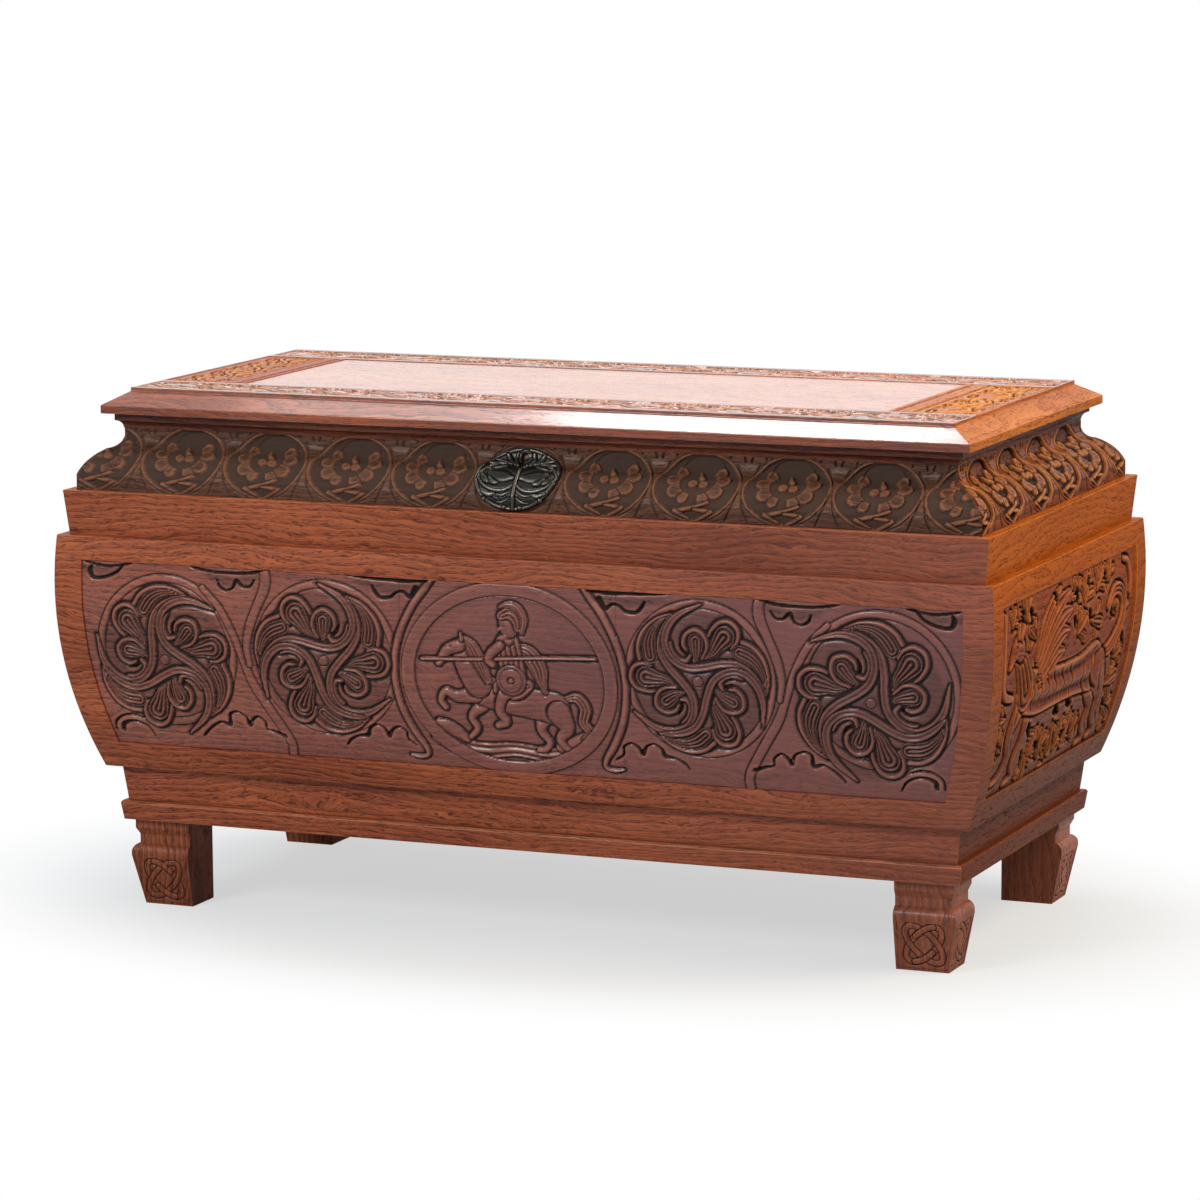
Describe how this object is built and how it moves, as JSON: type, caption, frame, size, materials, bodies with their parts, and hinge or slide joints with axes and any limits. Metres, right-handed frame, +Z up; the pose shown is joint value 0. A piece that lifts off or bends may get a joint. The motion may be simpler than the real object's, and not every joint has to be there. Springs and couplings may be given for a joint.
{
  "type": "cassone chest",
  "caption": "Carved oak chest with a swelling body, mitred mouldings, block feet and a hinged, locking lid.",
  "frame": {"origin": "on the floor, under the middle of the chest", "axes": "+X along the length, -Y out of the front, +Z up"},
  "size_m": [1.3092, 0.6592, 0.701],
  "materials": {
    "body_oak": "stained, waxed, worn to a satin",
    "cornice_oak": "dark stain, waxed",
    "lid_oak": "stained, polished",
    "plain_oak": "unfinished, aged",
    "iron_fittings": "black, dull",
    "escutcheon_iron": "black patina, polished on the high parts"
  },
  "bodies": {
    "carcass": {"base_board_front": "body_oak", "base_board_left": "body_oak", "base_board_rear": "body_oak", "base_board_right": "body_oak", "body_board_front": "body_oak", "body_board_left": "body_oak", "body_board_rear": "body_oak", "body_board_right": "body_oak", "bottom_board_1": "plain_oak", "bottom_board_2": "plain_oak", "bottom_board_3": "plain_oak", "cornice_front": "cornice_oak", "cornice_left": "cornice_oak", "cornice_rear": "cornice_oak", "cornice_right": "cornice_oak", "escutcheon": "escutcheon_iron", "foot_dowels": "plain_oak", "foot_front_left": "body_oak", "foot_front_right": "body_oak", "foot_rear_left": "body_oak", "foot_rear_right": "body_oak", "frieze_front": "body_oak", "frieze_left": "body_oak", "frieze_rear": "body_oak", "frieze_right": "body_oak", "hinge_left_carcass_leaf": "iron_fittings", "hinge_left_pin": "iron_fittings", "hinge_nails_carcass": "iron_fittings", "hinge_right_carcass_leaf": "iron_fittings", "hinge_right_pin": "iron_fittings", "lock_case": "iron_fittings", "lock_nails": "iron_fittings", "plinth_front": "body_oak", "plinth_left": "body_oak", "plinth_rear": "body_oak", "plinth_right": "body_oak", "rim_front": "body_oak", "rim_left": "body_oak", "rim_rear": "body_oak", "rim_right": "body_oak"},
    "lid": {"lid_end_left": "lid_oak", "lid_end_right": "lid_oak", "lid_panel": "lid_oak", "lid_rail_front": "lid_oak", "lid_rail_rear": "lid_oak", "hinge_left_lid_leaf": "iron_fittings", "hinge_right_lid_leaf": "iron_fittings", "hinge_nails_lid": "iron_fittings", "lock_keeper": "iron_fittings", "keeper_nails": "iron_fittings"},
    "bolt": {"lock_bolt": "iron_fittings"}
  },
  "joints": [
    {"name": "lid_hinge", "type": "hinge", "parent": "carcass", "child": "lid", "pos_m": [0, 0.2726, 0.668], "axis": [-1, 0, 0], "range_deg": [0, 100]},
    {"name": "lock_bolt_slide", "type": "slide", "parent": "carcass", "child": "bolt", "axis": [1, 0, 0], "range_m": [0, 0.012]}
  ]
}
